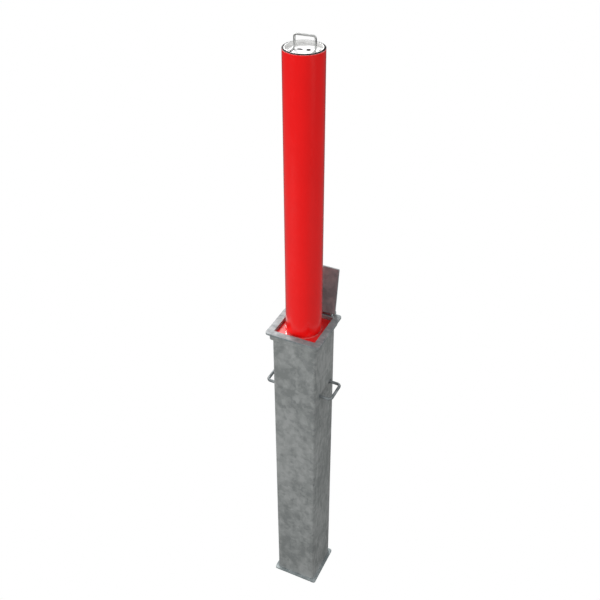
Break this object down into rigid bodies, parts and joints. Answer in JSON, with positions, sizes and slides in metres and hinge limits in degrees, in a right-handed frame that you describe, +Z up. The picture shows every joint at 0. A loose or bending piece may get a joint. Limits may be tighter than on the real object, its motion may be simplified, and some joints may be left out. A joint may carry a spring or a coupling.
{
  "type": "retractable bollard",
  "caption": "Square in-ground casing with a round post that slides down inside it, a hinged lid, a fold-down pull handle and a keyed latch.",
  "frame": {"origin": "centre of the base plate's underside, on the axis of the post", "axes": "+Z up along the post; -Y is the front and the lid is hinged at the +Y edge; X runs along the lid hinge. The paving level is 1.180 m above the origin."},
  "size_m": [0.24, 0.1978, 2.096],
  "materials": {
    "galvanised": "hot-dip galvanised, dull spangle",
    "red_powder_coat": "high-gloss red powder coat",
    "stainless": "polished stainless steel",
    "zinc_steel": "bright zinc plate",
    "seal_rubber": "black EPDM rubber",
    "buffer_rubber": "moulded black rubber",
    "nylon": "machined white nylon",
    "brass": "turned brass",
    "black_oxide": "black oxide on turned steel",
    "black_plastic": "moulded black plastic"
  },
  "bodies": {
    "casing": {"casing_tube": "galvanised", "base_plate": "galvanised", "top_frame": "galvanised", "frame_collar": "galvanised", "anchor_loop_left": "galvanised", "anchor_loop_right": "galvanised", "stop_lug_front": "galvanised", "stop_lug_rear": "galvanised", "rest_buffer_1": "buffer_rubber", "rest_buffer_2": "buffer_rubber", "rest_buffer_3": "buffer_rubber", "rest_buffer_4": "buffer_rubber", "frame_knuckle_left": "zinc_steel", "frame_knuckle_right": "zinc_steel", "hinge_pin": "stainless", "lid_stop_left": "galvanised", "lid_stop_right": "galvanised"},
    "lid": {"lid_plate": "galvanised", "lid_knuckle": "zinc_steel"},
    "post": {"post_tube": "red_powder_coat", "guide_plate_upper": "red_powder_coat", "guide_plate_lower": "red_powder_coat", "latch_shelf": "zinc_steel", "latch_guide": "zinc_steel", "rod_bracket_upper": "zinc_steel", "rod_bracket_lower": "zinc_steel", "rod_bush_upper": "nylon", "rod_bush_lower": "nylon", "rim_seal": "seal_rubber", "head_cup": "stainless", "head_ring": "zinc_steel", "cup_screw_1": "stainless", "cup_screw_2": "stainless", "cup_screw_3": "stainless", "cup_screw_4": "stainless", "handle_block_left": "zinc_steel", "handle_block_right": "zinc_steel", "lock_body": "brass", "hole_cap": "black_plastic"},
    "handle": {"pull_handle": "stainless"},
    "lock": {"lock_plug": "black_oxide", "drive_rod": "zinc_steel", "rod_crank": "zinc_steel", "crank_pin": "stainless"},
    "bolt": {"latch_bolt": "stainless"}
  },
  "joints": [
    {"name": "post_slide", "type": "slide", "parent": "casing", "child": "post", "axis": [0, 0, 1], "range_m": [-0.905, 0]},
    {"name": "lid_hinge", "type": "hinge", "parent": "casing", "child": "lid", "pos_m": [0, 0.078, 1.1848], "axis": [1, 0, 0], "range_deg": [0, 12]},
    {"name": "handle_hinge", "type": "hinge", "parent": "post", "child": "handle", "pos_m": [0.00084, -0.01197, 2.047], "axis": [0.9976, 0.0698, 0], "range_deg": [0, 87]},
    {"name": "lock_turn", "type": "hinge", "parent": "post", "child": "lock", "pos_m": [-0.01275, 0.00312, 2.065], "axis": [0, 0, 1], "range_deg": [0, 90]},
    {"name": "bolt_slide", "type": "slide", "parent": "post", "child": "bolt", "axis": [0, 1, 0], "range_m": [0, 0.01301]}
  ],
  "couplings": [
    {"joint": "lock_turn", "follows": "bolt_slide", "rad_per_m": 120.73}
  ]
}
